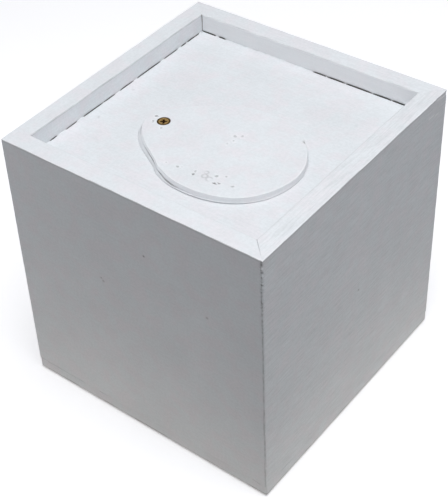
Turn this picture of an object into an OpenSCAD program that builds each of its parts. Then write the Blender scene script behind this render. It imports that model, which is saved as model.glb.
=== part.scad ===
// Display plinth: a mitred board box with a sunk top panel.
// An egg-shaped cover turns on one brass screw to open a round access hole in that panel.
// The box stands on Z = 0 with its centre on the Z axis. X is the width, Y the depth.

/* [Box] */
// Outside width, left to right
box_w = 180; // [150:1:320]
// Outside depth, front to back
box_d = 180; // [150:1:320]
// Overall height with the base board
box_h = 184; // [120:1:600]
// Thickness of the wall boards
wall_t = 12; // [9:0.5:18]
// Thickness of the base board
base_t = 9; // [6:0.5:18]
// Thickness of the sunk top board
top_t = 12; // [9:0.5:18]
// How far the top board lies below the rim
recess_depth = 12; // [6:0.5:30]
// Gap round the top board
top_gap = 0.4; // [0.2:0.1:1.5]
// Sanded flat on the outside corners and the rim
arris = 0.8; // [0.2:0.1:2]
// Radius of the base board's sanded lower edge
base_round = 3; // [1:0.5:5]

/* [Inside framing] */
// Width and height of the battens under the top board
batten = 18; // [12:1:25]
// Side of the square corner blocks
block = 18; // [12:1:25]
// Gap between the ends of neighbouring battens
batten_gap = 0.5; // [0.2:0.1:2]
// Thickness of the loose spline in each mitre
spline_t = 3; // [2:0.5:4]
// Width of the loose spline, across the mitre
spline_w = 8; // [6:0.5:9]
// How far each spline stops short of the wall's two ends
spline_stop = 15; // [8:1:40]
// Room round a spline in its slot
spline_fit = 0.1; // [0.05:0.05:0.3]

/* [Access hole and cover] */
// Diameter of the access hole
hole_d = 57; // [35:1:69]
// Pivot screw's distance to the left of the centre
pivot_left = 32.5; // [25:0.5:40]
// Pivot screw's distance in front of the centre
pivot_front = 16.8; // [10:0.1:25]
// Thickness of the swinging cover
cover_t = 3.6; // [3:0.1:8]
// Distance from the pivot to the centre of the cover's wide end
cover_reach = 52.5; // [50:0.5:63]
// Radius of the cover's wide end
wide_r = 40; // [37:0.5:48]
// Distance from the pivot to the centre of the cover's narrow end
tip_reach = 6.5; // [4:0.5:9]
// Radius of the cover's narrow end
tip_r = 17; // [14:0.5:21]
// Radius of the cover's two long flanks
flank_r = 78; // [70:1:120]

/* [Pivot] */
// Radius of the pivot screw's shank
pivot_r = 2.1; // [1.7:0.1:2.5]
// Radius of the pivot screw's head
pivot_head_r = 4.2; // [3.6:0.1:5]
// Length of the pivot screw under its head's top face
pivot_len = 12.7; // [12:0.1:15]
// How far the pivot screw's head is sunk into the cover
head_sink = 0.3; // [0:0.1:0.5]
// Radial running clearance of the cover on the pivot screw
pivot_fit = 0.08; // [0.03:0.01:0.1]
// Thickness of the washer under the cover
washer_t = 0.5; // [0.3:0.1:1.5]
// Outer radius of the washer
washer_r = 7; // [6:0.5:9]
// Radial clearance of the washer on the pivot screw
washer_fit = 0.2; // [0.1:0.05:0.5]

/* [Hidden framing screws] */
// Radius of the framing screws' shanks
screw_r = 1.75; // [1.5:0.05:2.1]
// Radius of the framing screws' heads
screw_head_r = 3.5; // [3:0.1:4]
// Radial clearance of a screw in its hole
screw_fit = 0.05; // [0.03:0.01:0.1]
// How far the batten screws reach into the wall or the top board
screw_bite = 7; // [5:0.5:8]
// How far the base screws reach into the corner blocks
base_bite = 21; // [15:1:40]
// How far the base screws' heads lie above the underside
base_sink = 0.5; // [0.3:0.1:2]
// From the neighbouring batten to the upright screws into the top board
upright_margin = 15; // [8:1:18]
// From the neighbouring batten to the level screws into the wall
level_margin = 35; // [28:1:40]

/* [Hidden] */
$fn = 64;
inner_w = box_w - 2 * wall_t;
inner_d = box_d - 2 * wall_t;
top_z = box_h - recess_depth;            // upper face of the top board
batten_top = top_z - top_t;
batten_z = batten_top - batten;          // underside of the battens
pivot_head_z = washer_t + cover_t - head_sink; // pivot screw's head face above the top board
hole_x = cover_reach - pivot_left;       // the hole lies under the wide end's centre
mitre_mid = wall_t / 2;                  // middle of a mitre, from the outside corner
tip_len = 2;                             // length of a screw's point
drill_over = 0.5;                        // how much deeper a blind hole is than its screw
cross_depth = 0.6;                       // depth of a head's cross recess, as a share of its cone
cross_length = 1.15;                     // length of the cross's arms, as a share of the head's radius
cross_width = 0.24;                      // width of the cross's arms, as a share of the head's radius
cross_turn = 20;                         // how the pivot screw's cross happens to stand
tip_flat = 0.3;                          // radius of a screw's blunt point
cut = 1;                                 // how far a cutting shape runs past a face

paint_white = [0.86, 0.87, 0.89];
pine = [0.82, 0.69, 0.49];
birch = [0.85, 0.75, 0.58];
brass = [0.75, 0.58, 0.26];
zinc = [0.66, 0.67, 0.68];

CORNERS = [[-1, -1], [1, -1], [-1, 1], [1, 1]];

// ---- screws ----

// A countersunk screw, head face at Z = 0 and point down, made larger all round by grow.
// Its hole is the same shape, grown by the clearance and with room left above the head.
module screw_body(r, head_r, len, grow = 0, headroom = 0) {
    cone = head_r - r;
    rotate_extrude()
        polygon([
            [0, headroom], [head_r + grow, headroom], [head_r + grow, 0],
            [r + grow, -cone], [r + grow, tip_len - len], [tip_flat, -len - grow], [0, -len - grow]
        ]);
}

// The screw itself, with a cross recess in its head
module screw(r, head_r, len) {
    slot_l = head_r * cross_length;
    slot_w = head_r * cross_width;
    depth = (head_r - r) * cross_depth;
    difference() {
        screw_body(r, head_r, len);
        for (turn = [0, 90])
            rotate([0, 0, turn])
                translate([-slot_l / 2, -slot_w / 2, -depth])
                    cube([slot_l, slot_w, depth + cut]);
    }
}

// ---- walls and their corners ----

// Plan of one mitred wall along X on the -Y side of a box that measures run by across
module wall_plan(run, across) {
    x = run / 2;
    y = across / 2;
    polygon([
        [-x + arris, -y], [x - arris, -y], [x - arris / 2, -y + arris / 2],
        [x - wall_t, -y + wall_t], [-x + wall_t, -y + wall_t], [-x + arris / 2, -y + arris / 2]
    ]);
}

// A loose spline across the mitre at the corner (x, y) of the box, grown by room for its slot
module spline_at(x, y, room = 0) {
    turn = x * y > 0 ? -45 : 45;
    z0 = base_t + spline_stop - room;
    z1 = box_h - spline_stop + room;
    mid = [sign(x) * (abs(x) - mitre_mid), sign(y) * (abs(y) - mitre_mid)];
    translate([mid[0], mid[1], z0])
        rotate([0, 0, turn])
            translate([-spline_w / 2 - room, -spline_t / 2 - room, 0])
                cube([spline_w + 2 * room, spline_t + 2 * room, z1 - z0]);
}

// The two level screws of one batten, point outwards, on the -Y side
module level_screws(run, across, grow = 0, headroom = 0, solid = true) {
    x = run / 2 - wall_t - batten - level_margin;
    for (side = [-1, 1])
        translate([side * x, -across / 2 + wall_t + batten, batten_z + batten / 2])
            rotate([90, 0, 0]) {
                if (solid)
                    screw(screw_r, screw_head_r, batten + screw_bite);
                else
                    screw_body(screw_r, screw_head_r, batten + screw_bite, grow, headroom);
            }
}

// One wall on the -Y side: mitred ends, spline slots, pilot holes and a sanded rim
module wall_board(run, across) {
    x = run / 2;
    y = across / 2;
    difference() {
        translate([0, 0, base_t])
            linear_extrude(box_h - base_t)
                wall_plan(run, across);
        for (side = [-1, 1])
            spline_at(side * x, -y, spline_fit);
        level_screws(run, across, screw_fit, cut, false);
        translate([0, -y, box_h])
            rotate([45, 0, 0])
                cube([run + 2 * cut, arris * sqrt(2), arris * sqrt(2)], center = true);
    }
}

module front_wall() {
    color(paint_white) wall_board(box_w, box_d);
}

module back_wall() {
    color(paint_white) rotate([0, 0, 180]) wall_board(box_w, box_d);
}

module right_wall() {
    color(paint_white) rotate([0, 0, 90]) wall_board(box_d, box_w);
}

module left_wall() {
    color(paint_white) rotate([0, 0, -90]) wall_board(box_d, box_w);
}

// side is a corner of the box, such as [-1, 1] for the left and the back
module spline(side) {
    color(birch) spline_at(side[0] * box_w / 2, side[1] * box_d / 2);
}

// ---- framing ----

// The base screws, one up the middle of each corner block
module base_screw_set(grow = 0, headroom = 0, solid = true) {
    x = inner_w / 2 - block / 2;
    y = inner_d / 2 - block / 2;
    len = base_t - base_sink + base_bite;
    for (side = CORNERS)
        translate([side[0] * x, side[1] * y, base_sink])
            rotate([180, 0, 0]) {
                if (solid)
                    screw(screw_r, screw_head_r, len);
                else
                    screw_body(screw_r, screw_head_r, len, grow, headroom);
            }
}

// A square block glued into one corner, from the base board up to the battens
module corner_block(side) {
    x = side[0] * (inner_w / 2 - block / 2);
    y = side[1] * (inner_d / 2 - block / 2);
    color(pine)
        difference() {
            translate([x - block / 2, y - block / 2, base_t])
                cube([block, block, batten_z - base_t]);
            base_screw_set(screw_fit, cut, false);
        }
}

// The upright screws of the batten on the -Y side, up into the top board
module upright_screws(run, across, grow = 0, headroom = 0, solid = true) {
    x = run / 2 - wall_t - batten - upright_margin;
    for (side = [-1, 1])
        translate([side * x, -across / 2 + wall_t + batten / 2, batten_z])
            rotate([180, 0, 0]) {
                if (solid)
                    screw(screw_r, screw_head_r, batten + screw_bite);
                else
                    screw_body(screw_r, screw_head_r, batten + screw_bite, grow, headroom);
            }
}

// A batten against the wall on the -Y side; it stops short of its neighbours by inset
module batten_bar(run, across, inset) {
    len = run - 2 * wall_t - 2 * inset;
    difference() {
        translate([-len / 2, -across / 2 + wall_t, batten_z])
            cube([len, batten, batten]);
        level_screws(run, across, screw_fit, cut, false);
        upright_screws(run, across, screw_fit, cut, false);
    }
}

module batten_front() {
    color(pine) batten_bar(box_w, box_d, batten_gap);
}

module batten_back() {
    color(pine) rotate([0, 0, 180]) batten_bar(box_w, box_d, batten_gap);
}

module batten_right() {
    color(pine) rotate([0, 0, 90]) batten_bar(box_d, box_w, batten + batten_gap);
}

module batten_left() {
    color(pine) rotate([0, 0, -90]) batten_bar(box_d, box_w, batten + batten_gap);
}

// Two level screws through each batten into its wall
module batten_screws() {
    color(zinc) {
        for (turn = [0, 180])
            rotate([0, 0, turn]) level_screws(box_w, box_d);
        for (turn = [90, -90])
            rotate([0, 0, turn]) level_screws(box_d, box_w);
    }
}

// The upright screws of all four battens
module upright_set(grow = 0, headroom = 0, solid = true) {
    for (turn = [0, 180])
        rotate([0, 0, turn]) upright_screws(box_w, box_d, grow, headroom, solid);
    for (turn = [90, -90])
        rotate([0, 0, turn]) upright_screws(box_d, box_w, grow, headroom, solid);
}

module top_board_screws() {
    color(zinc) upright_set();
}

// ---- base ----

// Cuts the quarter round along the lower edge on the -Y side
module edge_round(run, across) {
    translate([0, -across / 2, 0])
        rotate([90, 0, 90])
            linear_extrude(run + 2 * cut, center = true)
                difference() {
                    translate([-cut, -cut]) square(base_round + cut);
                    translate([base_round, base_round]) circle(base_round);
                }
}

// The base board, planted on under the walls, with a sanded lower edge
module base_board() {
    x = box_w / 2;
    y = box_d / 2;
    color(paint_white)
        difference() {
            linear_extrude(base_t)
                polygon([
                    [-x + arris, -y], [x - arris, -y], [x, -y + arris], [x, y - arris],
                    [x - arris, y], [-x + arris, y], [-x, y - arris], [-x, -y + arris]
                ]);
            for (turn = [0, 180])
                rotate([0, 0, turn]) edge_round(box_w, box_d);
            for (turn = [90, -90])
                rotate([0, 0, turn]) edge_round(box_d, box_w);
            base_screw_set(screw_fit, cut, false);
        }
}

module base_screws() {
    color(zinc) base_screw_set();
}

// ---- top board, cover and pivot ----

// Puts its children at the pivot, with Z = 0 on the top board
module at_pivot() {
    translate([-pivot_left, -pivot_front, top_z]) children();
}

// The sunk top panel, with the access hole and the pivot screw's pilot hole
module top_board() {
    w = inner_w - 2 * top_gap;
    d = inner_d - 2 * top_gap;
    color(paint_white)
        difference() {
            translate([-w / 2, -d / 2, batten_top])
                cube([w, d, top_t]);
            translate([hole_x, -pivot_front, batten_top - cut])
                cylinder(h = top_t + 2 * cut, d = hole_d);
            upright_set(screw_fit, cut, false);
            at_pivot()
                translate([0, 0, pivot_head_z - pivot_len - drill_over])
                    cylinder(h = pivot_len, r = pivot_r + screw_fit);
        }
}

function arc(centre, r, from, to, steps) =
    [for (i = [0:steps - 1])
        let (a = from + (to - from) * i / steps)
            centre + r * [cos(a), sin(a)]];

// The cover's outline is an egg of four arcs that run smoothly into each other.
// Each flank's centre lies where it is tangent inside both end circles.
function egg_outline() =
    let (
        spacing = cover_reach - tip_reach,
        to_wide = flank_r - wide_r,
        to_tip = flank_r - tip_r,
        fx = (to_tip * to_tip - to_wide * to_wide - spacing * spacing) / (2 * spacing),
        fy = sqrt(to_wide * to_wide - fx * fx),
        wide = [cover_reach, 0],
        tip = [tip_reach, 0],
        a_wide = atan2(fy, -fx),
        a_tip = atan2(fy, -spacing - fx)
    )
    concat(
        arc(wide, wide_r, -a_wide, a_wide, 60),
        arc(wide + [fx, -fy], flank_r, a_wide, a_tip, 20),
        arc(tip, tip_r, a_tip, 360 - a_tip, 20),
        arc(wide + [fx, fy], flank_r, 360 - a_tip, 360 - a_wide, 20)
    );

// The swinging cover, with a countersunk hole that runs on the pivot screw
module swing_cover() {
    color(paint_white)
        at_pivot()
            translate([0, 0, washer_t])
                difference() {
                    linear_extrude(cover_t)
                        polygon(egg_outline());
                    translate([0, 0, cover_t - head_sink])
                        screw_body(pivot_r, pivot_head_r, pivot_len, pivot_fit, cut);
                }
}

module pivot_washer() {
    color(brass)
        at_pivot()
            difference() {
                cylinder(h = washer_t, r = washer_r);
                translate([0, 0, -cut])
                    cylinder(h = washer_t + 2 * cut, r = pivot_r + washer_fit);
            }
}

module pivot_screw() {
    color(brass)
        at_pivot()
            translate([0, 0, pivot_head_z])
                rotate([0, 0, cross_turn])
                    screw(pivot_r, pivot_head_r, pivot_len);
}

front_wall();
right_wall();
back_wall();
left_wall();
spline([-1, -1]);  // spline_front_left
spline([1, -1]);  // spline_front_right
spline([-1, 1]);  // spline_back_left
spline([1, 1]);  // spline_back_right
corner_block([-1, -1]);  // corner_block_front_left
corner_block([1, -1]);  // corner_block_front_right
corner_block([-1, 1]);  // corner_block_back_left
corner_block([1, 1]);  // corner_block_back_right
batten_front();
batten_right();
batten_back();
batten_left();
batten_screws();
base_board();
base_screws();
top_board();
top_board_screws();
pivot_washer();
swing_cover();
pivot_screw();
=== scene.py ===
import math

import bpy
import numpy as np
from mathutils import Matrix, Vector


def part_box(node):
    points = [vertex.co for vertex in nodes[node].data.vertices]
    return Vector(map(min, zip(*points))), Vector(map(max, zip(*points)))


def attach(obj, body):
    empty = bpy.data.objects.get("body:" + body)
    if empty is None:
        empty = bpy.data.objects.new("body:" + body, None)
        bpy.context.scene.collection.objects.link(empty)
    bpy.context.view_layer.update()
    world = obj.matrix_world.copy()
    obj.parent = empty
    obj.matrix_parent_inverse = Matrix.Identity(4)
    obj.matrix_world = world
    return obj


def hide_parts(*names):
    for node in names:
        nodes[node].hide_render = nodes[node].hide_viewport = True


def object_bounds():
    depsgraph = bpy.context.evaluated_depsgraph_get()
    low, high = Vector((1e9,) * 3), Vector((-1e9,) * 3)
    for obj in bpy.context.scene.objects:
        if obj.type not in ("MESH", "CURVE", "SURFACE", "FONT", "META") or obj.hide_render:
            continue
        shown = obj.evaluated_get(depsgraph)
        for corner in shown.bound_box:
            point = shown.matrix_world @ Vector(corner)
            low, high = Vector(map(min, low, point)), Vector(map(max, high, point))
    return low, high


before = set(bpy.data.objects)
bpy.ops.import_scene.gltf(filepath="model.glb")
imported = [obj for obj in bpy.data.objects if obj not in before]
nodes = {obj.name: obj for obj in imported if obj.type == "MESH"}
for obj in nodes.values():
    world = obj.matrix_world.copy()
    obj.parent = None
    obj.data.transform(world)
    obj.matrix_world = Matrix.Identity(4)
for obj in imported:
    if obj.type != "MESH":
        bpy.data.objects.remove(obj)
cad_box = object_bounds()
mm = 0.001


# ---------------------------------------------------------------- walls
# Four boards of 12 mm birch plywood, mitred and glued at the upright corners, then sanded and
# painted as one box. The paint stops below the sunk panel, so the inner faces are bare ply. The near
# corner's arris is knocked and its mitre has opened to a hair crack, as the far one has inside.

WHITE = "#E2E6E9"
WHITE_THIN = "#CCD0D2"
WHITE_PINK = "#E5E1E5"
# a whiter paint, used as a painted highlight on edges, chips and scratches
WHITE_HIGHLIGHT = "#F7F8F9"
# a dark grey, used for dirt marks and for painted shade
GRIME_AND_SHADE = "#55534F"
PLY_LIGHT = "#D8BD93"
PLY_DARK = "#A88458"


def linear(hex_colour):
    """An sRGB hex colour as linear RGBA: the sRGB curve is undone on each channel."""
    c = np.array([int(hex_colour[i:i + 2], 16) for i in (1, 3, 5)]) / 255
    c = np.where(c <= 0.04045, c / 12.92, ((c + 0.055) / 1.055) ** 2.4)
    return (*c.tolist(), 1.0)


def add(tree, kind, inputs=None, **settings):
    """Adds a shader node. settings are its properties; inputs maps a socket's name or number to
    another node's output socket, which is linked, or to a value."""
    node = tree.nodes.new(kind)
    for key, value in settings.items():
        setattr(node, key, value)
    for key, value in (inputs or {}).items():
        if isinstance(value, bpy.types.NodeSocket):
            tree.links.new(value, node.inputs[key])
        else:
            node.inputs[key].default_value = value
    return node


def new_material(name):
    """A material with an empty node tree."""
    material = bpy.data.materials.new(name)
    material.use_nodes = True
    material.node_tree.nodes.clear()
    return material, material.node_tree


def paint_shader(tree, run_axis, grain, smudges=(), scuff=None):
    """Satin emulsion on sanded ply: cool white, softly uneven in tone and tint, with a roller's
    stipple, and the wood's fibres telegraphing through along run_axis, which keeps the flats from
    looking moulded. A vertex attribute darkens it above 0, for dirt and painted shade, and whitens it
    below 0 as a painted highlight. smudges are dark marks, each x, y, z, size and strength; the last
    argument is the height of a broken dark line."""
    where = add(tree, "ShaderNodeTexCoord").outputs["Object"]
    stretch = [1 / (0.9 * mm)] * 3
    stretch[run_axis] = 1 / (13 * mm)
    along = add(tree, "ShaderNodeMapping", {"Vector": where, "Scale": stretch}).outputs["Vector"]
    fibre = add(tree, "ShaderNodeTexNoise", {"Vector": along, "Scale": 1, "Detail": 3, "Roughness": 0.6})
    streak = add(tree, "ShaderNodeMapRange",
                 {"Value": fibre.outputs["Fac"], "From Min": 0.38, "From Max": 0.72}).outputs["Result"]
    stipple = add(tree, "ShaderNodeTexNoise",
                  {"Vector": where, "Scale": 1 / (1.5 * mm), "Detail": 2, "Roughness": 0.55}).outputs["Fac"]
    cloud = add(tree, "ShaderNodeTexNoise",
                {"Vector": where, "Scale": 1 / (26 * mm), "Detail": 3, "Roughness": 0.6}).outputs["Fac"]
    patch = add(tree, "ShaderNodeTexNoise",
                {"Vector": where, "Scale": 1 / (11 * mm), "Detail": 2, "Roughness": 0.5}).outputs["Fac"]

    relief = add(tree, "ShaderNodeBump", {"Height": stipple, "Strength": 0.35, "Distance": 0.06 * mm})
    relief = add(tree, "ShaderNodeBump", {"Height": streak, "Strength": 0.6 * grain, "Distance": 0.08 * mm,
                                          "Normal": relief.outputs["Normal"]})
    thin = add(tree, "ShaderNodeMapRange", {"Value": cloud, "From Min": 0.3, "From Max": 0.75,
                                            "To Min": 0, "To Max": 0.24}).outputs["Result"]
    thin = add(tree, "ShaderNodeMath", {0: streak, 1: 0.6 * grain, 2: thin},
               operation="MULTIPLY_ADD").outputs["Value"]
    speck = add(tree, "ShaderNodeMapRange", {"Value": stipple, "From Min": 0.38, "From Max": 0.62,
                                             "To Min": -0.07, "To Max": 0.14}).outputs["Result"]
    thin = add(tree, "ShaderNodeMath", {0: thin, 1: speck}, operation="ADD",
               use_clamp=True).outputs["Value"]
    tint = add(tree, "ShaderNodeMapRange", {"Value": patch, "From Min": 0.42, "From Max": 0.62,
                                            "To Min": 0, "To Max": 0.6}).outputs["Result"]
    coat = add(tree, "ShaderNodeMix", {0: tint, 6: linear(WHITE), 7: linear(WHITE_PINK)},
               data_type="RGBA").outputs[2]
    coat = add(tree, "ShaderNodeMix", {0: thin, 6: coat, 7: linear(WHITE_THIN)},
               data_type="RGBA").outputs[2]
    # the vertex attribute: above 0 it darkens the paint for dirt and painted shade, below 0 it whitens it
    # as a painted highlight
    grime_and_painted_light = add(tree, "ShaderNodeAttribute", attribute_name="grime_and_painted_light").outputs["Fac"]
    painted_highlight = add(tree, "ShaderNodeMapRange",
                 {"Value": grime_and_painted_light, "From Min": 0, "From Max": -1}).outputs["Result"]
    coat = add(tree, "ShaderNodeMix", {0: painted_highlight, 6: coat, 7: linear(WHITE_HIGHLIGHT)},
               data_type="RGBA").outputs[2]
    coat = add(tree, "ShaderNodeMix", {0: grime_and_painted_light, 6: coat, 7: linear(GRIME_AND_SHADE)}, data_type="RGBA").outputs[2]
    for x, y, z, size, strength in smudges:
        spot = add(tree, "ShaderNodeMapping",
                   {"Vector": where, "Location": (-x / size, -y / size, -z / size),
                    "Scale": [1 / size] * 3}).outputs["Vector"]
        away = add(tree, "ShaderNodeVectorMath", {0: spot}, operation="LENGTH").outputs["Value"]
        mark = add(tree, "ShaderNodeMapRange", {"Value": away, "From Min": 1, "From Max": 0,
                                                "To Max": strength}).outputs["Result"]
        mark = add(tree, "ShaderNodeMath", {0: mark, 1: stipple}, operation="MULTIPLY").outputs[0]
        coat = add(tree, "ShaderNodeMix", {0: mark, 6: coat, 7: linear(GRIME_AND_SHADE)}, data_type="RGBA").outputs[2]
    if scuff is not None:
        # a broken dark line at the given height
        height = add(tree, "ShaderNodeSeparateXYZ", {"Vector": where}).outputs["Z"]
        off = add(tree, "ShaderNodeMath", {0: height, 1: scuff, 2: 0.3 * mm},
                  operation="COMPARE").outputs[0]
        mark = add(tree, "ShaderNodeMapRange", {"Value": cloud, "From Min": 0.45, "From Max": 0.6,
                                                "To Max": 0.5}).outputs["Result"]
        mark = add(tree, "ShaderNodeMath", {0: mark, 1: off}, operation="MULTIPLY").outputs[0]
        coat = add(tree, "ShaderNodeMix", {0: mark, 6: coat, 7: linear(GRIME_AND_SHADE)}, data_type="RGBA").outputs[2]
    gloss = add(tree, "ShaderNodeMapRange", {"Value": cloud, "To Min": 0.48, "To Max": 0.62})
    shader = add(tree, "ShaderNodeBsdfPrincipled",
                 {"Base Color": coat, "Roughness": gloss.outputs["Result"], "IOR": 1.45,
                  "Specular IOR Level": 0.35, "Normal": relief.outputs["Normal"]})
    return shader.outputs["BSDF"]


def ply_shader(tree, run_axis, layer_axis):
    """Bare birch plywood: pale tan veneer with fine darker fibres along run_axis, and on a cut edge
    the plies as light and dark bands 1.4 mm apart along layer_axis."""
    where = add(tree, "ShaderNodeTexCoord").outputs["Object"]
    stretch = [1 / (1.2 * mm)] * 3
    stretch[run_axis] = 1 / (30 * mm)
    along = add(tree, "ShaderNodeMapping", {"Vector": where, "Scale": stretch}).outputs["Vector"]
    fibre = add(tree, "ShaderNodeTexNoise",
                {"Vector": along, "Scale": 1, "Detail": 5, "Roughness": 0.65}).outputs["Fac"]
    depth = add(tree, "ShaderNodeSeparateXYZ", {"Vector": where}).outputs[layer_axis]
    turn = add(tree, "ShaderNodeMath", {0: depth, 1: math.pi / (1.4 * mm)}, operation="MULTIPLY")
    wave = add(tree, "ShaderNodeMath", {0: turn.outputs[0]}, operation="SINE").outputs[0]
    band = add(tree, "ShaderNodeMapRange", {"Value": wave, "From Min": -0.3, "From Max": 0.3,
                                            "To Min": 0, "To Max": 0.55}).outputs["Result"]
    mixed = add(tree, "ShaderNodeMath", {0: fibre, 1: 0.7, 2: band}, operation="MULTIPLY_ADD")
    tone = add(tree, "ShaderNodeMapRange", {"Value": mixed.outputs[0], "From Min": 0.2, "From Max": 1.1})
    wood = add(tree, "ShaderNodeMix",
               {0: tone.outputs["Result"], 6: linear(PLY_LIGHT), 7: linear(PLY_DARK)},
               data_type="RGBA").outputs[2]
    relief = add(tree, "ShaderNodeBump", {"Height": fibre, "Strength": 0.5, "Distance": 0.1 * mm})
    shader = add(tree, "ShaderNodeBsdfPrincipled",
                 {"Base Color": wood, "Roughness": 0.72, "IOR": 1.5, "Specular IOR Level": 0.3,
                  "Normal": relief.outputs["Normal"]})
    return shader.outputs["BSDF"]


def satin_paint(name, run_axis, grain, smudges=()):
    """Satin emulsion all over."""
    material, tree = new_material(name)
    add(tree, "ShaderNodeOutputMaterial", {"Surface": paint_shader(tree, run_axis, grain, smudges)})
    return material


def bare_birch_ply(name, run_axis, layer_axis):
    """Bare birch plywood all over."""
    material, tree = new_material(name)
    add(tree, "ShaderNodeOutputMaterial", {"Surface": ply_shader(tree, run_axis, layer_axis)})
    return material


def hills(x, y, seed):
    """Smooth random hills from -1 to 1, one unit apart: random heights on a square lattice, joined
    by the blend 3t^2 - 2t^3 between neighbours."""
    heights = np.random.default_rng(seed).uniform(-1, 1, (64, 64))
    x, y = np.broadcast_arrays(np.asarray(x, float), np.asarray(y, float))
    i, j = np.floor(x).astype(int), np.floor(y).astype(int)
    fx, fy = x - i, y - j
    fx, fy = fx * fx * (3 - 2 * fx), fy * fy * (3 - 2 * fy)
    i, j, i1, j1 = i % 64, j % 64, (i + 1) % 64, (j + 1) % 64
    low = heights[i, j] * (1 - fx) + heights[i1, j] * fx
    high = heights[i, j1] * (1 - fx) + heights[i1, j1] * fx
    return low * (1 - fy) + high * fy


def crowded(count, pull):
    """Numbers from -1 to 1 that crowd towards both ends: tanh(pull * t) / tanh(pull)."""
    return np.tanh(pull * np.linspace(-1, 1, count)) / math.tanh(pull)


def bell(x, centre, width):
    """A smooth bump of height 1: exp(-((x - centre) / width)^2)."""
    return np.exp(-((x - centre) / width) ** 2)


def grid_piece(name, points, materials, ring=False, slots=None, grime_and_painted_light=None):
    """A mesh from a grid of points [row, column, xyz]: a quad between each four neighbours. The rows
    are a closed loop. The columns are one too if ring is set, and otherwise a flat face closes each
    end. slots gives each vertex its material's number, and a quad takes its lowest one."""
    rows, columns = points.shape[:2]
    ids = np.arange(rows * columns).reshape(rows, columns)
    ids = np.vstack([ids, ids[:1]])
    if ring:
        ids = np.hstack([ids, ids[:, :1]])
    quads = np.stack([ids[:-1, :-1], ids[:-1, 1:], ids[1:, 1:], ids[1:, :-1]], axis=-1).reshape(-1, 4)
    ends = [] if ring else [ids[:-1, 0].tolist(), ids[:-1, -1][::-1].tolist()]
    mesh = bpy.data.meshes.new(name)
    mesh.from_pydata(points.reshape(-1, 3).tolist(), [], quads.tolist() + ends)
    mesh.polygons.foreach_set("use_smooth", [True] * len(quads) + [False] * len(ends))
    for material in materials:
        mesh.materials.append(material)
    if slots is not None:
        chosen = slots.reshape(-1)[quads].min(axis=1).tolist()
        mesh.polygons.foreach_set("material_index", chosen + [len(materials) - 1] * len(ends))
    if grime_and_painted_light is not None:
        values = np.clip(grime_and_painted_light, -1, 1).ravel().astype(np.float32)
        mesh.attributes.new("grime_and_painted_light", "FLOAT", "POINT").data.foreach_set("value", values)
    mesh.update()
    piece = bpy.data.objects.new(name, mesh)
    bpy.context.scene.collection.objects.link(piece)
    return piece


panel_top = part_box("top_board")[1].z
wall_low, wall_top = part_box("front_wall")[0].z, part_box("front_wall")[1].z
half_w, half_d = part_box("right_wall")[1].x, -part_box("front_wall")[0].y
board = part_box("front_wall")[1].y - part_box("front_wall")[0].y
sanded = 0.4 * mm            # radius of the sanded outer edges
heel = 0.4 * mm              # radius of the rim's inner edge


def raggedness(z):
    """How rough the near corner is, 0 to 1: rough over its upper quarter, then fading."""
    return 1 / (1 + np.exp(-(z - 146 * mm) / (11 * mm)))


def near_corner_wear(z):
    """Extra edge radius up the near corner: knocks of the upper quarter, a millimetre or two apart,
    and three chips lower down. Each is a hill, so the edge turns ragged and stays closed. At the
    very top the paint has built up into a lip."""
    ragged = np.abs(hills(z / (1.5 * mm), 0, 5)) + 0.6 * np.abs(hills(z / (0.9 * mm), 9, 6))
    chips = bell(z, 84 * mm, 0.7 * mm) + bell(z, 57 * mm, 0.9 * mm) + bell(z, 27 * mm, 0.8 * mm)
    lip = bell(z, wall_top, 1.8 * mm)
    return (1.25 * ragged * raggedness(z) + 0.7 * chips + 0.2 * ragged) * (1 - lip) * mm - 0.3 * lip * mm


def slight_wear(seed, knock=0.0):
    """Extra edge radius up a corner that is a little uneven, with one knock just below its top."""
    return lambda z: (0.25 * np.clip(hills(z / (4 * mm), 0, seed), 0, 1)
                      + knock * bell(z, wall_top - 2.5 * mm, 1.6 * mm)) * mm


def showing(s, stretches):
    """How far a joint shows along a wall, 0 to 1: each stretch is its first and last place in
    millimetres, and comes and goes by the step 1 / (1 + exp(-x / 0.4 mm)), over about 2 mm."""
    if not stretches:
        return np.zeros(np.shape(s))
    edges = np.array(stretches) * mm
    since, until = (np.clip((np.asarray(s)[..., None] - edges[:, k]) / (0.4 * mm), -60, 60)
                    for k in (0, 1))
    return (1 / (1 + np.exp(-since)) / (1 + np.exp(until))).sum(axis=-1)


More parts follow.
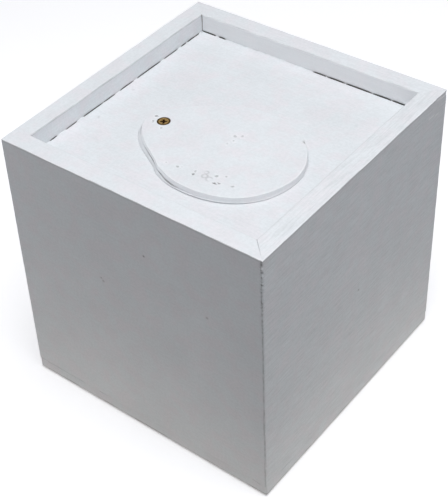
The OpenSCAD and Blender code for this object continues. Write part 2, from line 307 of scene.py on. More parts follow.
def wall_piece(name, turn, across, run, wear, mitre, inner, seam, arris, heel_shade, steps, grain, seed,
               open_gaps=(), gap_wide=0, inner_painted_light=0, scratch_highlights=(), smudges=()):
    """One mitred board, swept as a closed section along its run.

    The section's rows go up the outer face, over the rim, down the inner face and back under; the
    columns crowd towards the mitres. A column ends where the mitre plane cuts the section, at the
    board's half length less the row's depth. Near an outer edge a point is pulled onto a ball of
    the edge's radius that rolls inside the three outer planes. The faces then sink by slow hills,
    and by thin grooves where a joint shows: the rim's mitre, the inner corner and the base seam.

    run is the board's half length and across is how far out it stands. wear, mitre and inner give
    each end its edge wear, its rim crack's depth and its inner corner's crease, in millimetres. seam
    and open_gaps are stretches, and scratches are stretches at a height, all in millimetres."""
    tall = wall_top - wall_low
    up = wall_low + tall * (crowded(220, 1.2) + 1) / 2
    over = board * (crowded(26, 1.6)[1:-1] + 1) / 2
    shown = 14 * mm              # how far down the inner face the rows are close together
    recess = shown * np.linspace(0, 1, 44) ** 1.5
    deep = shown + (tall - shown) * np.linspace(0, 1, 14)[1:]
    down = wall_top - np.concatenate([recess, deep])
    under = board * (1 - np.linspace(0, 1, 8)[1:-1])
    d = np.concatenate([0 * up, over, 0 * down + board, under])[:, None]
    z = np.concatenate([up, 0 * over + wall_top, down, 0 * under + wall_low])[:, None]
    side = crowded(150, 2.1)[None, :]
    d, z, side = np.broadcast_arrays(d, z, side)
    s = side * (run - d)
    end = run - np.abs(s)                    # distance from the next wall's outer plane
    top = wall_top - z
    sole = z <= wall_low + 1e-6
    outer_face, inner_face = d == 0, d == board
    rim = ~outer_face & ~inner_face & ~sole
    beside = end - d                         # distance along the run from the mitre

    worn = np.where(s < 0, wear[0](z), wear[1](z))
    at_near = np.where(s < 0, wear[0] is near_corner_wear, wear[1] is near_corner_wear)
    edge = sanded + worn * bell(end, 0, 3 * mm)
    rim_waves = hills(s / (5 * mm), 1, seed) * bell(top, 0, 3 * mm) * (1 - bell(end, 0, 4 * mm))
    edge = edge + 0.2 * mm * rim_waves
    seam_sink = 0.3 * mm * showing(s, seam) * bell(z, wall_low, 0.45 * mm) * outer_face
    gaps = np.stack([d + seam_sink, end + seam_sink * bell(end, 0, 1 * mm), top])
    pull = np.maximum(gaps, edge) - gaps
    length = np.maximum(np.linalg.norm(pull, axis=0), 1e-9)
    rolled = np.maximum(gaps, edge) - edge * pull / length
    gaps = np.where((d < board / 2) & ~sole, rolled, gaps)

    wavy = heel + 0.2 * mm * (1 + hills(s / (7 * mm), 3, seed + 1)) + steps * mm * ((s / (14 * mm)) % 1)
    wavy = np.where(beside < 3 * mm, heel, wavy)
    back = np.stack([board - d, top])
    pull = np.maximum(back, wavy) - back
    length = np.maximum(np.linalg.norm(pull, axis=0), 1e-9)
    rolled = np.maximum(back, wavy) - wavy * pull / length
    inside = (d > board / 2) & ~sole
    depth = np.where(inside, board - rolled[0], gaps[0])
    height = wall_top - np.where(inside, rolled[1], gaps[2])
    place = np.where(inside, side * (run - depth), np.sign(s) * (run - gaps[1]))

    calm = (1 - bell(np.where(outer_face, end, beside), 0, 5 * mm)) * (1 - bell(z, wall_low, 2 * mm))
    slow = 0.05 * mm * (1 + hills(place / (22 * mm), height / (22 * mm), seed + 2))
    fine = 0.02 * mm * hills(place / (4 * mm), height / (1.7 * mm), seed + 3)
    depth = depth + outer_face * (slow + fine) * calm
    ragged_line = arris * (0.65 + 0.35 * hills(z / (2.5 * mm), 4, seed + 6)) * (s > 0)
    ragged_line = ragged_line * bell(end, (0.85 + 0.2 * hills(z / (4 * mm), 7, seed + 7)) * mm, 0.33 * mm)
    depth = depth + outer_face * 0.2 * mm * ragged_line
    brushed = 1 + hills(place / (9 * mm), height / (4 * mm), seed + 5)
    depth = depth - inner_face * 0.12 * mm * brushed * calm
    height = height - rim * 0.04 * mm * (1 + hills(place / (9 * mm), d / (7 * mm), seed + 4)) * calm

    crack = np.where(s < 0, mitre[0], mitre[1]) * mm * np.clip((d - 1.2 * mm) / (7 * mm), 0, 1)
    height = height - rim * crack * bell(beside, 0, 0.25 * mm)
    crease = np.where(s < 0, inner[0], inner[1]) * mm * bell(beside, 0, 0.3 * mm)
    crease = crease * np.clip(0.75 + 0.9 * hills(z / (2.2 * mm), 2, seed + 9), 0.1, 1)
    foot_gap = inner_face * showing(s, open_gaps)
    depth = depth - gap_wide * mm * foot_gap * (np.abs(height - panel_top + 0.5 * mm) < 1 * mm)
    depth = depth - inner_face * (height > panel_top - 1 * mm) * crease

    # what the attribute holds: painted shade and the nicks' darkening above 0, painted highlights below 0
    # darker in the near corner's nicks
    rough = raggedness(z) * (end < 4 * mm) * at_near
    nick = np.clip(1.3 * hills(z / (0.6 * mm), end / (2.2 * mm), 12), 0, 1) * rough
    # painted highlights on the near corner's chips and knocks
    chip_glint = 0.8 * (bell(z, 56 * mm, 0.8 * mm) + bell(z, 26 * mm, 0.7 * mm)) * (end < 3 * mm)
    glint = np.clip(hills(z / (1.3 * mm), 17, 13), 0, 1) * rough + chip_glint
    nick = 0.9 * nick * (0.3 + 0.7 * (arris > 0)) * (top > 2 * mm)
    grime_and_painted_light = outer_face * nick * bell(end, 0.5 * mm, 1.1 * mm)
    grime_and_painted_light = grime_and_painted_light - 0.8 * outer_face * glint * bell(end, 0.1 * mm, 0.4 * mm)
    # painted shade along the groove by the near corner, in the base seam, in the rim's crack and in the
    # inner crease
    grime_and_painted_light = grime_and_painted_light + 0.5 * outer_face * ragged_line
    grime_and_painted_light = grime_and_painted_light + 0.4 * seam_sink / (0.3 * mm)
    grime_and_painted_light = grime_and_painted_light + 1.3 * rim * (crack / mm) * bell(beside, 0, 0.22 * mm)
    grime_and_painted_light = grime_and_painted_light + 1.5 * inner_face * (crease / mm)
    # painted shade along the rim's inner edge and in a band below its outer edge, and a painted highlight
    # on that outer edge
    at_heel = inside * (bell(board - d, 0.15 * mm, 0.3 * mm) * (top < 1 * mm))
    grime_and_painted_light = grime_and_painted_light + heel_shade * (0.75 + 0.25 * hills(s / (5 * mm), 6, seed + 8)) * at_heel
    grime_and_painted_light = grime_and_painted_light + 0.22 * outer_face * bell(top, 1.0 * mm, 0.4 * mm)
    grime_and_painted_light = grime_and_painted_light - 0.7 * bell(d, 0, 0.4 * mm) * bell(top, 0, 0.4 * mm)
    # painted shade on the inner faces below the panel's top and in the open gaps, and painted light on an
    # inner face above the panel
    grime_and_painted_light = grime_and_painted_light + 0.85 * inner_face * (height < panel_top - 0.1 * mm)
    grime_and_painted_light = grime_and_painted_light - inner_painted_light * inner_face * (height > panel_top + 0.6 * mm)
    grime_and_painted_light = grime_and_painted_light + 1.2 * foot_gap * (height < panel_top + gap_wide * mm)
    # a painted highlight along each scratch
    for first, last, level in scratch_highlights:
        grime_and_painted_light = grime_and_painted_light - 1.3 * outer_face * showing(s, [(first, last)]) * bell(z, level * mm, 0.3 * mm)
    bare = (inner_face & (height < panel_top - 3 * mm)) | sole

    c, n = math.cos(turn), math.sin(turn)
    x, y = place, -(across - depth)
    points = np.stack([c * x - n * y, n * x + c * y, height], axis=-1)
    axis = 0 if abs(n) < 0.5 else 1
    finishes = [satin_paint(f"satin emulsion on plywood, {name}", axis, grain, smudges),
                bare_birch_ply(f"bare birch plywood, {name}", axis, 1 - axis)]
    piece = grid_piece(name + "_painted", points, finishes, slots=bare.astype(int), grime_and_painted_light=grime_and_painted_light)
    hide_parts(name)
    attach(piece, "plinth")


# where the gap between wall and panel is open, along each wall, in millimetres
left_gaps = [(-74, -71), (-70, -63), (-61, -57), (-52, -40), (-35, -14), (-9, 2), (8, 17), (19, 35),
             (42, 50), (59, 64), (73, 77)]
back_gaps = [(-78, -62), (-60.5, -49), (-47, -30), (-28.5, -17), (-15, -7), (60.5, 65), (68, 78)]
near, right, far, left = near_corner_wear, slight_wear(21, 1.1), slight_wear(22), slight_wear(23)
wall_piece("front_wall", 0, half_d, half_w, (left, near), mitre=(0, 0.3), inner=(0, 0.1),
           seam=[(-95, -52), (-40, -33), (80, 86)], arris=1, heel_shade=0.18, steps=0, grain=0.25, seed=101,
           smudges=[(10.7 * mm, -half_d, 147 * mm, 1.1 * mm, 1.4),
                    (-22.5 * mm, -half_d, 111.6 * mm, 1.2 * mm, 0.9),
                    (-24 * mm, -half_d, 113.4 * mm, 1.0 * mm, 0.7),
                    (52.7 * mm, -half_d, 124.5 * mm, 1.2 * mm, 0.8)])
wall_piece("right_wall", math.pi / 2, half_w, half_d, (near, right), mitre=(0.3, 0), inner=(0.1, 0),
           seam=[(-76, -64)], arris=0, heel_shade=0.24, steps=0, grain=1.0, seed=201,
           smudges=[(half_w, 2.4 * mm, 94.5 * mm, 1.1 * mm, 1.3)],
           scratch_highlights=[(71, 77, 173.8), (78, 82, 172.2), (79, 84, 182.2), (83, 88, 181.2)])
wall_piece("back_wall", math.pi, half_d, half_w, (right, far), mitre=(0, 0), inner=(0, 0.22),
           seam=[(-80, -60), (30, 44)], arris=0, heel_shade=0.1, steps=0.1, grain=0.5, seed=301,
           open_gaps=back_gaps, gap_wide=0.34, inner_painted_light=0.6)
wall_piece("left_wall", -math.pi / 2, half_w, half_d, (far, left), mitre=(0, 0), inner=(0.22, 0.1),
           seam=[(20, 50)], arris=0, heel_shade=0.35, steps=0.4, grain=0.4, seed=401, open_gaps=left_gaps,
           gap_wide=0.1)


# ------------------------------------------------- splines and inner frame
# Loose birch ply splines sit in the mitres, stopped short of both ends. Square pine blocks are glued
# into the corners, and four pine battens against the walls carry the sunk panel.

PINE_PALE = "#E0C391"
PINE_RING = "#B98A52"


def planed_pine(name, run_axis):
    """Planed pine: growth rings about 3 mm wide round a pith well outside the piece, drawn out along
    run_axis, pale early wood shading into a tan late-wood line, which tells it from the ply."""
    material, tree = new_material(name)
    where = add(tree, "ShaderNodeTexCoord").outputs["Object"]
    squash = [1.0, 1.0, 1.0]
    squash[run_axis] = 0.06
    across = add(tree, "ShaderNodeMapping", {"Vector": where, "Scale": squash,
                                             "Location": (0.11, 0.07, 0.05)}).outputs["Vector"]
    rings = add(tree, "ShaderNodeTexWave", {"Vector": across, "Scale": 1 / (20 * 3 * mm), "Distortion": 1.5,
                                            "Detail": 2, "Detail Scale": 30}, wave_type="RINGS",
                rings_direction="SPHERICAL", wave_profile="SAW").outputs["Fac"]
    pores = add(tree, "ShaderNodeTexNoise",
                {"Vector": across, "Scale": 1 / (0.7 * mm), "Detail": 3}).outputs["Fac"]
    tone = add(tree, "ShaderNodeMath", {0: pores, 1: 0.25, 2: rings}, operation="MULTIPLY_ADD").outputs[0]
    tone = add(tree, "ShaderNodeMapRange",
               {"Value": tone, "From Min": 0.2, "From Max": 1.25}).outputs["Result"]
    wood = add(tree, "ShaderNodeMix", {0: tone, 6: linear(PINE_PALE), 7: linear(PINE_RING)},
               data_type="RGBA").outputs[2]
    relief = add(tree, "ShaderNodeBump", {"Height": tone, "Strength": 0.4, "Distance": 0.1 * mm})
    shader = add(tree, "ShaderNodeBsdfPrincipled", {"Base Color": wood, "Roughness": 0.65, "IOR": 1.5,
                                                    "Normal": relief.outputs["Normal"]})
    add(tree, "ShaderNodeOutputMaterial", {"Surface": shader.outputs["BSDF"]})
    return material


def finish(node, material):
    """Gives a CAD node one material in place of its packed one."""
    nodes[node].data.materials.clear()
    nodes[node].data.materials.append(material)


spline_ply = bare_birch_ply("birch plywood splines", 2, 0)
upright_pine = planed_pine("planed pine, upright", 2)
for corner in ("front_left", "front_right", "back_left", "back_right"):
    finish("spline_" + corner, spline_ply)
    finish("corner_block_" + corner, upright_pine)
for side, axis in (("front", 0), ("right", 1), ("back", 0), ("left", 1)):
    finish("batten_" + side, planed_pine("planed pine, batten " + side, axis))


# ------------------------------------------------------------ wood screws
# Zinc-plated steel countersunk screws: two up through each batten into the panel, four up through the
# base board into the corner blocks, and two on each batten's inner face. Those last should run on into
# the wall, but the CAD has them pointing inwards, and they are shown as it has them.

ZINC = "#C3C6CA"
ZINC_DULL = "#8F949B"


def zinc_plate(name):
    """Bright zinc plate on steel: pale bluish metal, clouded where the plate has dulled."""
    material, tree = new_material(name)
    where = add(tree, "ShaderNodeTexCoord").outputs["Object"]
    cloud = add(tree, "ShaderNodeTexNoise",
                {"Vector": where, "Scale": 1 / (2 * mm), "Detail": 3}).outputs["Fac"]
    plate = add(tree, "ShaderNodeMix", {0: cloud, 6: linear(ZINC), 7: linear(ZINC_DULL)},
                data_type="RGBA").outputs[2]
    dull = add(tree, "ShaderNodeMapRange",
               {"Value": cloud, "To Min": 0.25, "To Max": 0.5}).outputs["Result"]
    shader = add(tree, "ShaderNodeBsdfPrincipled",
                 {"Base Color": plate, "Metallic": 1.0, "Roughness": dull})
    add(tree, "ShaderNodeOutputMaterial", {"Surface": shader.outputs["BSDF"]})
    return material


zinc = zinc_plate("zinc plate on steel")
for group in ("batten_screws", "top_board_screws", "base_screws"):
    finish(group, zinc)


# -------------------------------------------------------------- base board
# A 9 mm birch plywood board planted on under the walls, screwed up into the corner blocks. Its edge
# is sanded round with the walls and painted with them, and its inside face is bare.


def part_painted(name, grain, bare_above, height, reach, **marks):
    """Satin emulsion, and bare ply above the height (below it if bare_above is false) where a point
    is nearer than reach to the middle, along x and along y."""
    material, tree = new_material(name)
    paint = paint_shader(tree, 0, grain, **marks)
    wood = ply_shader(tree, 0, 2)
    where = add(tree, "ShaderNodeTexCoord").outputs["Object"]
    xyz = add(tree, "ShaderNodeSeparateXYZ", {"Vector": where}).outputs
    past = add(tree, "ShaderNodeMath", {0: xyz["Z"], 1: height},
               operation="GREATER_THAN" if bare_above else "LESS_THAN").outputs[0]
    x = add(tree, "ShaderNodeMath", {0: xyz["X"]}, operation="ABSOLUTE").outputs[0]
    y = add(tree, "ShaderNodeMath", {0: xyz["Y"]}, operation="ABSOLUTE").outputs[0]
    out = add(tree, "ShaderNodeMath", {0: x, 1: y}, operation="MAXIMUM").outputs[0]
    within = add(tree, "ShaderNodeMath", {0: out, 1: reach}, operation="LESS_THAN").outputs[0]
    bare = add(tree, "ShaderNodeMath", {0: past, 1: within}, operation="MULTIPLY").outputs[0]
    both = add(tree, "ShaderNodeMixShader", {0: bare, 1: paint, 2: wood})
    add(tree, "ShaderNodeOutputMaterial", {"Surface": both.outputs["Shader"]})
    return material


finish("base_board", part_painted("satin emulsion on plywood, base", 0.3, True,
                                  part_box("base_board")[1].z - 0.05 * mm, half_w - 2 * mm, scuff=2.8 * mm))


# --------------------------------------------------------------- top panel
# A 12 mm birch plywood panel sunk 12 mm below the rim, lying on the battens and screwed from below.
# A 57 mm hole is sawn through it. Its top is painted, and fingers have left three faint marks.

smudges = ((-70.5 * mm, -31 * mm, panel_top, 1.6 * mm, 0.3), (-72 * mm, 2 * mm, panel_top, 1.6 * mm, 0.3),
           (58 * mm, 46 * mm, panel_top, 1.5 * mm, 0.3))
finish("top_board", part_painted("satin emulsion on plywood, panel", 0.35, False, panel_top - 0.05 * mm,
                                 half_w, smudges=smudges))


# ----------------------------------------------------- paint round the panel
# The gap between panel and walls was never filled. Brushed paint has bridged it in places, as a thin
# fillet, and has sunk into it in others, where it shows as a dark line.


def paint_bead(side, turn, across, run, gaps, seed):
    """A fillet along one wall's foot, closed below: its height falls from the wall to the panel as
    (1 - u)^2. Where the gap is open the whole section sinks 2.4 mm, out of sight."""
    wide, tall, behind = 1.5 * mm, 0.55 * mm, 0.6 * mm
    u = np.linspace(0, 1, 9)
    out = np.concatenate([wide * u, [wide, 0.5 * wide, 0]])[:, None]
    up = np.concatenate([tall * (1 - u) ** 2 - 0.02 * mm, [-1 * mm, -1 * mm, -1 * mm]])[:, None]
    s = np.linspace(-run, run, 420)[None, :]
    uneven = 1 + 0.45 * hills(s / (3 * mm), 0, seed) + 0.2 * hills(s / (1.1 * mm), 5, seed)
    open_gap = np.clip(showing(s, gaps), 0, 1)
    y = -(across - board) - behind + out * uneven
    z = panel_top + np.maximum(up, 0) * uneven + np.minimum(up, 0) - 2.4 * mm * open_gap
    x, y, z = np.broadcast_arrays(s, y, z)
    c, n = math.cos(turn), math.sin(turn)
    points = np.stack([c * x - n * y, n * x + c * y, z], axis=-1)
    paint = satin_paint(f"satin emulsion, sagged into the gap, {side}", 0 if abs(n) < 0.5 else 1, 0.1)
    bead = grid_piece(f"paint_bead_{side}", points, [paint])
    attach(bead, "plinth")


paint_bead("front", 0, half_d, half_w - board, [(-30, -24), (12, 15)], 501)
paint_bead("right", math.pi / 2, half_w, half_d - board, [(-50, -44), (20, 31)], 502)
paint_bead("back", math.pi, half_d, half_w - board, back_gaps, 503)
paint_bead("left", -math.pi / 2, half_w, half_d - board, left_gaps, 504)


# ------------------------------------------------------------ pivot washer
# A thin brass washer under the cover, so that the two painted faces don't stick to each other.

BRASS = "#E2BC78"
BRASS_TARNISH = "#2C1C0E"


def old_brass(name, tarnish):
    """Brass left to tarnish: warm yellow where it is handled, brown in the hollows and in blots a
    millimetre or two wide. tarnish, 0 to 1, is how much of it has turned."""
    material, tree = new_material(name)
    where = add(tree, "ShaderNodeTexCoord").outputs["Object"]
    blots = add(tree, "ShaderNodeTexNoise", {"Vector": where, "Scale": 1 / (1.1 * mm), "Detail": 4,
                                             "Roughness": 0.65}).outputs["Fac"]
    # the mesh's attribute: tarnish in hollows, and on the screw painted shade at the head's rim
    tarnish_and_shade = add(tree, "ShaderNodeAttribute", attribute_name="grime_and_painted_light").outputs["Fac"]
    turned = add(tree, "ShaderNodeMapRange", {"Value": blots, "From Min": 0.62 - 0.3 * tarnish,
                                              "From Max": 0.78 - 0.3 * tarnish}).outputs["Result"]
    turned = add(tree, "ShaderNodeMath", {0: turned, 1: tarnish_and_shade}, operation="MAXIMUM").outputs[0]
    metal = add(tree, "ShaderNodeMix", {0: turned, 6: linear(BRASS), 7: linear(BRASS_TARNISH)},
                data_type="RGBA").outputs[2]
    rough = add(tree, "ShaderNodeMapRange",
                {"Value": turned, "To Min": 0.42, "To Max": 0.6}).outputs["Result"]
    relief = add(tree, "ShaderNodeBump", {"Height": blots, "Strength": 0.3, "Distance": 0.05 * mm})
    shader = add(tree, "ShaderNodeBsdfPrincipled",
                 {"Base Color": metal, "Metallic": 1.0, "Roughness": rough,
                  "Normal": relief.outputs["Normal"]})
    add(tree, "ShaderNodeOutputMaterial", {"Surface": shader.outputs["BSDF"]})
    return material


finish("pivot_washer", old_brass("brass sheet", 0.3))


# -------------------------------------------------------------- swing cover
# An egg of thin plywood, cut by hand with a fretsaw, so that its outline wanders, and painted on the
# bench: the paint has run to a thicker foot along the edge, and flaked near the front.

pivot = (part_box("pivot_screw")[0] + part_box("pivot_screw")[1]) / 2
cover_low, cover_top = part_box("swing_cover")[0].z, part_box("swing_cover")[1].z
wide_at, wide_r, tip_at, tip_r, flank_r = 52.5 * mm, 40 * mm, 6.5 * mm, 17 * mm, 78 * mm
wide_turn, tip_turn = math.radians(92.64), math.radians(141.52)
pivot_hole, sunk_r = 2.15 * mm, 4.35 * mm
saw_waves = np.array([(0.69, -7), (0.42, -10), (0.52, -176), (0.58, 14), (0.21, 95), (0.22, 102),
                      (0.23, 146)])
# the side's foot at shares of the way round: how far it stands out, how high its ledge or groove runs,
# how deep the groove is, and how far the paint hangs below the board
foot = np.array([(0, 1.05, .55, .08, 0), (.03, .9, .55, .05, 0), (.05, .75, .55, 0, 0),
                 (.08, .3, .55, 0, .1), (.12, .55, .55, 0, .25), (.16, .55, .6, 0, .35),
                 (.2, .4, .6, 0, .35), (.25, .2, .6, 0, .35), (.35, 0, .6, 0, .2), (.5, .2, .6, 0, .2),
                 (.7, .6, .8, 0, .2), (.74, 1.3, 1.2, 0, .3), (.78, 2.2, 2.1, 0, .35),
                 (.8, 2.4, 2.15, .05, .35), (.82, 2.2, 2.15, .15, .35), (.84, 2.0, 2.15, .3, .35),
                 (.86, 1.8, 2.15, .5, .35), (.88, 1.6, 2.15, .6, .35), (.9, 1.5, 1.9, .1, .35),
                 (.92, 1.9, 1.7, .4, .35), (.94, 1.9, 1.1, .5, .3), (.96, 1.6, .75, .5, .15),
                 (.98, 1.2, .6, .2, 0)])


def egg(rows):
    """The cover's outline round its pivot, and its outward normals: a wide arc, a flank, a small tip
    arc and the other flank, evenly spaced by length, pushed out by seven saw waves (millimetres and
    degrees) of one to seven turns round the edge."""
    flank_at = (wide_at - (flank_r - wide_r) * math.cos(wide_turn),
                -(flank_r - wide_r) * math.sin(wide_turn))
    centre = np.array([(wide_at, 0), flank_at, (tip_at, 0), (flank_at[0], -flank_at[1])])
    radius = np.array([wide_r, flank_r, tip_r, flank_r])
    begin = np.array([-wide_turn, wide_turn, tip_turn, 2 * math.pi - tip_turn])
    length = radius * (np.append(begin[1:], 2 * math.pi - wide_turn) - begin)
    reach = np.concatenate([[0], np.cumsum(length)])
    share = np.arange(rows) / rows
    place = share * reach[-1]
    arc = np.searchsorted(reach, place, side="right") - 1
    angle = begin[arc] + (place - reach[arc]) / radius[arc]
    normal = np.stack([np.cos(angle), np.sin(angle)], axis=-1)
    turns = 2 * math.pi * share[:, None] * np.arange(1, 8) + np.radians(saw_waves[:, 1])
    wander = (-0.05 + (saw_waves[:, 0] * np.cos(turns)).sum(axis=1)
              + 0.55 * bell(share, 0.905, 0.012) - 0.3 * bell(share, 0.2, 0.07)) * mm
    return centre[arc] + (radius[arc] + wander)[:, None] * normal, normal, share


def swing_cover():
    """Rows follow the outline; columns go from the countersink out over the top, round the upper edge,
    down the side, out over the paint's foot and back underneath to the pivot hole."""
    rows, top_columns, below_columns = 480, 138, 13
    outline, normal, share = egg(rows)
    thick = cover_top - cover_low
    across = np.linalg.norm(outline, axis=1, keepdims=True)
    heading = outline / across
    bow = np.linspace(0, 1, 8)[1:] * math.pi / 2
    lip_r = 0.45 * mm

    f = np.linspace(0, 1, top_columns)[None, :, None]
    edge_start = outline - lip_r * normal
    top_xy = heading[:, None, :] * sunk_r * (1 - f) + edge_start[:, None, :] * f

    # the side slopes out to its foot, with a ledge low down or a groove between two coats of paint
    out, high, deep, hang = (np.interp(share, foot[:, 0], foot[:, k], period=1)[:, None] * mm
                             for k in (1, 2, 3, 4))
    out = out + 0.1 * mm * hills(share * 40, 0, 61)[:, None]
    ledge = 0.4 * (1 - np.clip((high - 0.55 * mm) / (1.4 * mm), 0, 1))
    break_z, foot_z = cover_low + high, cover_low + 0.25 * mm - hang
    upper = np.linspace(0, 1, 6)[None, 1:]
    upper_z = (cover_top - lip_r) * (1 - upper) + (break_z + 0.2 * mm) * upper
    upper_out = out * (1 - ledge) * (cover_top - upper_z) / thick
    last_out = upper_out[:, -1:]
    start_z, start_out = break_z - 0.2 * mm, last_out + ledge * out
    break_rows = break_z + np.array([[0.1, 0, -0.1]]) * mm
    break_out = last_out + out * ledge * np.array([[0, 0.1, 0.6]]) - deep * np.array([[0.6, 1, 0.6]])
    lower = np.linspace(0, 1, 5)[None, :]
    lower_z = start_z * (1 - lower) + foot_z * lower
    lower_out = start_out * (1 - lower) + out * lower
    under_z = foot_z - np.array([[0.15, 0.25]]) * mm
    under_out = out - np.array([[0.04, 0.2]]) * mm
    bow_out, bow_z = (np.sin(bow) - 1) * lip_r, cover_top - (1 - np.cos(bow)) * lip_r
    edge_out = np.concatenate([bow_out + 0 * out, upper_out, break_out, lower_out, under_out], axis=1)
    edge_z = np.concatenate([bow_z + 0 * out, upper_z, break_rows, lower_z, under_z], axis=1)
    edge_xy = outline[:, None, :] + normal[:, None, :] * edge_out[..., None]
    g = np.linspace(0, 1, below_columns + 1)[None, 1:, None]
    below_xy = edge_xy[:, -1:, :] * (1 - g) + heading[:, None, :] * pivot_hole * g
    sink_r = np.concatenate([[pivot_hole] * 3, np.linspace(pivot_hole, sunk_r, 7)[1:-1]])
    sink_z = np.concatenate([cover_low + (thick - sunk_r + pivot_hole) * np.array([0.3, 0.7, 1.0]),
                             np.linspace(cover_top - sunk_r + pivot_hole, cover_top, 7)[1:-1]])
    sink_xy = heading[:, None, :] * sink_r[None, :, None]
    xy = np.concatenate([top_xy, edge_xy, below_xy, sink_xy], axis=1)
    flat = np.concatenate([np.full(top_columns, cover_top), 0 * edge_z[0],
                           np.full(below_columns, cover_low), sink_z])
    z = np.broadcast_to(flat, xy.shape[:2]).copy()
    side = slice(top_columns + len(bow), top_columns + edge_z.shape[1])
    z[:, top_columns:side.stop] = edge_z

    x, y = xy[..., 0], xy[..., 1]
    from_pivot, rim_at = np.hypot(x, y), np.hypot(*outline.T)[:, None]
    on_top = np.zeros(xy.shape[1])
    on_top[:side.start] = 1
    on_top = on_top * (1 - bell(from_pivot, sunk_r, 1.2 * mm))
    z += on_top * (0.05 * mm * hills(x / (16 * mm), y / (16 * mm), 71)
                   + 0.02 * mm * hills(x / (3 * mm), y / (3 * mm), 72))

    # flaked paint: place, size and depth, and three lifted rings, all in millimetres
    flakes = np.array([(26, -29.9, .5, .10), (33.7, -28.9, .8, .14), (35.7, -28.1, .6, .10),
                       (44.9, -29.6, .9, .24), (44.4, -26.9, .7, .12), (59.3, -29.5, .9, .26),
                       (61.4, -28.3, .8, .22), (56.5, -23.7, 1.0, .16), (60.9, -21.3, .8, .12),
                       (69.1, -26.3, .8, .14), (42.9, 11.0, 1.1, .10), (44.9, 7.0, .8, .10),
                       (46.3, 13.3, 1.2, .08), (43.5, 3.0, .9, .05), (-6.6, 1.5, .9, .22),
                       (-4.6, -4.2, .6, .2), (-5.2, -3.2, .6, .2), (3.1, -6.0, .7, .12)])
    from_flake = np.hypot(x[..., None] - flakes[:, 0] * mm, y[..., None] - flakes[:, 1] * mm)
    ragged = 1 + 0.5 * hills(x / (0.9 * mm), y / (0.9 * mm), 73)[..., None]
    pits = np.exp(-(from_flake * ragged / (1.25 * flakes[:, 2] * mm)) ** 3)
    rings = np.array([(51.2, -27.6, 1.6), (54.8, -28.4, 1.7), (50.0, -24.5, 1.2)])
    from_ring = np.hypot(x[..., None] - rings[:, 0] * mm, y[..., None] - rings[:, 1] * mm)
    lifted = bell(from_ring, rings[:, 2] * mm, 0.4 * mm).max(axis=-1)
    lifted = lifted * np.clip(hills(x / (2 * mm), y / (2 * mm), 74) + 0.5, 0, 1)
    z += on_top * (-(pits * flakes[:, 3] * mm).sum(axis=-1) + 0.12 * mm * lifted)
    chip = bell(share[:, None], 0.345, 0.005)
    z -= chip * on_top * 0.9 * mm * bell(from_pivot, rim_at, 1.2 * mm)

    grime_and_painted_light = on_top * (pits * flakes[:, 3] * 3.2).sum(axis=-1) + 0.35 * on_top * lifted
    # a painted highlight round each flake's rim
    grime_and_painted_light = grime_and_painted_light - on_top * 0.5 * bell(from_flake * ragged, 1.4 * flakes[:, 2] * mm, 0.3 * mm).max(axis=-1)
    grime_and_painted_light = grime_and_painted_light + 0.7 * chip * bell(from_pivot, rim_at, 1.0 * mm)
    # a painted highlight along the top edge all round, and painted shade lines along its back
    behind = bell(share, 0.31, 0.05) + 0.5 * bell(share, 0.5, 0.13) + bell(share, 0.72, 0.05)
    at_rim = bell(from_pivot, rim_at, 0.5 * mm) * (z > cover_top - 0.5 * mm)
    grime_and_painted_light = grime_and_painted_light + at_rim * (0.3 * behind - 0.4 * bell(share, 0.25, 0.05) - 0.3)[:, None]
    # the side painted lighter, as painted light
    grime_and_painted_light[:, side] -= 0.4
    # painted shade in the groove between the two coats
    groove = slice(side.start + 4, side.start + 9)
    grime_and_painted_light[:, groove] += 3.2 * deep / mm * (0.7 + 0.3 * hills(share * 60, 0, 62))[:, None]

    points = np.stack([x + pivot.x, y + pivot.y, z], axis=-1)
    piece = grid_piece("egg_cover", points, [satin_paint("satin emulsion on plywood, cover", 0, 0.15)],
                       ring=True, grime_and_painted_light=grime_and_painted_light)
    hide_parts("swing_cover")
    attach(piece, "cover")


swing_cover()


# -------------------------------------------------------------- pivot screw
# A No. 8 brass countersunk wood screw with a cross recess, sunk just below the cover's face. It holds
# the cover down on its washer and is the pin that it turns on.

head_top, tip_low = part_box("pivot_screw")[1].z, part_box("pivot_screw")[0].z
head_r = (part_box("pivot_screw")[1].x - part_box("pivot_screw")[0].x) / 2


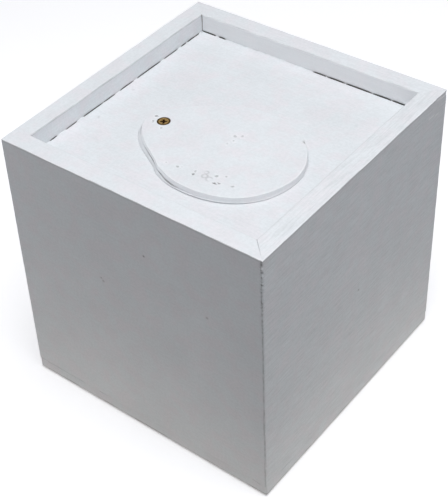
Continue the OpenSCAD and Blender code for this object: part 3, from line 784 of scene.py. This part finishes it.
def pivot_screw():
    """Turned about the pivot: columns run from the middle of the head out to its rim, in along the
    countersink, and down the shank to a point. The cross recess is where a point of the head lies
    within 0.5 mm of either arm's line, and its floor slopes up towards the arms' ends. The thread is
    a ridge that climbs 1.4 mm each turn."""
    face_r = head_r * np.linspace(0.01, 0.955, 62)
    tip_long = 2.5 * mm
    rim_r, rim_z = head_r * np.array([0.985, 1.0, 0.985]), -np.array([0.05, 0.14, 0.24]) * mm
    neck_r = 2.0 * mm
    cone = np.linspace(0, 1, 8)[1:]
    cone_r, cone_z = head_r + (neck_r - head_r) * cone, -0.24 * mm - (head_r - neck_r) * cone
    shank_z = np.linspace(cone_z[-1], tip_low - head_top + tip_long, 90)[1:]
    point = np.linspace(0, 1, 10)[1:]
    r = np.concatenate([face_r, rim_r, cone_r, 0 * shank_z + neck_r, neck_r * (1 - 0.97 * point)])[None, :]
    z = np.concatenate([0 * face_r, rim_z, cone_z, shank_z, shank_z[-1] - tip_long * point])[None, :]
    turn = np.linspace(0, 2 * math.pi, 180, endpoint=False)[:, None]
    column, shank_at = np.arange(r.size), len(face_r) + len(rim_r) + len(cone_r)
    threaded = (column >= shank_at) & (column < shank_at + len(shank_z))
    ridge = np.abs((z / (1.4 * mm) + turn / (2 * math.pi)) % 1 - 0.5) * 2
    r = r - 0.45 * mm * threaded * np.clip(1.6 * ridge - 0.3, 0, 1)
    z = z + 0 * turn
    x, y = r * np.cos(turn), r * np.sin(turn)
    tilt = math.radians(38)
    along, athwart = x * math.cos(tilt) + y * math.sin(tilt), y * math.cos(tilt) - x * math.sin(tilt)
    arms = np.minimum(np.abs(along), np.abs(athwart))
    inside = np.clip((0.6 * mm - arms) / (0.16 * mm), 0, 1) * np.clip((2.25 * mm - r) / (0.25 * mm), 0, 1)
    on_face = column < len(face_r)
    recess = inside * on_face * (1.55 * mm - 0.5 * r)
    z = z - recess - on_face * 0.04 * mm * (r / head_r) ** 4
    # tarnish over the middle and in the recess, and a dark ring at the rim that is partly painted shade of
    # the countersink
    ring = np.clip((r - 0.66 * head_r) / (0.12 * head_r), 0, 0.85)
    grime_and_painted_light = np.clip(recess / (0.5 * mm), 0, 1) + on_face * (ring + 0.75 * bell(r, 0, 1.9 * mm)) + ~on_face
    points = np.stack([x + pivot.x, y + pivot.y, z + head_top], axis=-1)
    piece = grid_piece("pivot_screw_brass", points, [old_brass("brass, turned and tarnished", 0.3)],
                       grime_and_painted_light=grime_and_painted_light)
    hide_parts("pivot_screw")
    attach(piece, "plinth")


pivot_screw()


# ------------------------------------------------------------------- studio
# A plain white table under one broad soft light, with a weaker one at each side and a pale room round
# it. The camera stands off the near corner, 0.6 m above the table and tilted down at the plinth.


def white_table(name):
    """A matt white tabletop that reaches 0.3 m from the plinth's middle, on a darker floor. What is
    seen is all one white, with a little glow so that it stays white in the plinth's shade; what lights
    the plinth from below is the tabletop, so its sides are lightest low down."""
    material, tree = new_material(name)
    where = add(tree, "ShaderNodeTexCoord").outputs["Object"]
    away = add(tree, "ShaderNodeVectorMath", {0: where}, operation="LENGTH").outputs["Value"]
    beyond = add(tree, "ShaderNodeMapRange",
                 {"Value": away, "From Min": 0.13, "From Max": 0.3}).outputs["Result"]
    lit = add(tree, "ShaderNodeMix", {0: beyond, 6: linear("#C4BDB2"), 7: linear("#3C3D40")},
              data_type="RGBA").outputs[2]
    looked_at = add(tree, "ShaderNodeLightPath").outputs["Is Camera Ray"]
    card = add(tree, "ShaderNodeMix", {0: looked_at, 6: lit, 7: linear("#FCFCFD")},
               data_type="RGBA").outputs[2]
    glow = add(tree, "ShaderNodeMath", {0: looked_at, 1: 0.25}, operation="MULTIPLY").outputs[0]
    shader = add(tree, "ShaderNodeBsdfPrincipled",
                 {"Base Color": card, "Roughness": 0.9, "Specular IOR Level": 0.1,
                  "Emission Color": linear("#FFFFFF"),
                  "Emission Strength": glow})
    add(tree, "ShaderNodeOutputMaterial", {"Surface": shader.outputs["BSDF"]})
    return material


def lamp(name, size, energy, colour, place, target):
    """A square soft light that faces target."""
    light = bpy.data.lights.new(name, "AREA")
    light.size, light.energy, light.color = size, energy, linear(colour)[:3]
    holder = bpy.data.objects.new(name, light)
    holder.matrix_world = (Matrix.Translation(place)
                           @ (Vector(target) - Vector(place)).to_track_quat("-Z", "Y").to_matrix().to_4x4())
    bpy.context.scene.collection.objects.link(holder)


floor_z = cad_box[0][2]
mesh = bpy.data.meshes.new("floor")
mesh.from_pydata([(-4, -4, floor_z), (4, -4, floor_z), (4, 4, floor_z), (-4, 4, floor_z)], [],
                 [(0, 1, 2, 3)])
mesh.materials.append(white_table("matt white laminate"))
floor = bpy.data.objects.new("floor", mesh)
bpy.context.scene.collection.objects.link(floor)

lamp("overhead", 0.9, 8.5, "#FFFFFF", (0.2, -0.12, 1.1), (0, 0, 0.1))
lamp("window_right", 0.6, 2.75, "#FAFBFF", (1.1, 0.75, 0.25), (0, 0, 0.06))
lamp("window_left", 0.3, 0.40, "#FFFCFA", (-0.42, -0.32, 0.12), (-0.09, -0.09, 0.05))

# seen directly, the room has the far table's tone, so that no horizon shows
world = bpy.data.worlds.new("pale room")
world.use_nodes = True
world.node_tree.nodes.clear()
room = add(world.node_tree, "ShaderNodeBackground", {"Color": linear("#F3F5FC"), "Strength": 0.38})
backdrop = add(world.node_tree, "ShaderNodeBackground", {"Color": linear("#CECFD1"), "Strength": 1.0})
seen = add(world.node_tree, "ShaderNodeLightPath").outputs["Is Camera Ray"]
sight = add(world.node_tree, "ShaderNodeMixShader",
            {0: seen, 1: room.outputs["Background"], 2: backdrop.outputs["Background"]})
add(world.node_tree, "ShaderNodeOutputWorld", {"Surface": sight.outputs["Shader"]})
bpy.context.scene.world = world
bpy.context.scene.view_settings.view_transform = "Standard"

eye, aim = Vector((0.36634, -0.46349, 0.59788)), Vector((-0.0271, -0.0112, 0.0910))
roll = math.radians(4.01)
forward = (aim - eye).normalized()
level = forward.cross(Vector((0, 0, 1))).normalized()
upright = level.cross(forward)
across = level * math.cos(roll) - upright * math.sin(roll)
camera = bpy.data.objects.new("camera", bpy.data.cameras.new("camera"))
camera.data.lens, camera.data.sensor_width = 91.55, 36
camera.data.shift_x, camera.data.shift_y = 0.078, -0.036
camera.data.clip_start, camera.data.clip_end = 0.01, 30
camera.matrix_world = (Matrix.Translation(eye)
                       @ Matrix((across, across.cross(forward), -forward)).transposed().to_4x4())
bpy.context.scene.collection.objects.link(camera)
bpy.context.scene.camera = camera
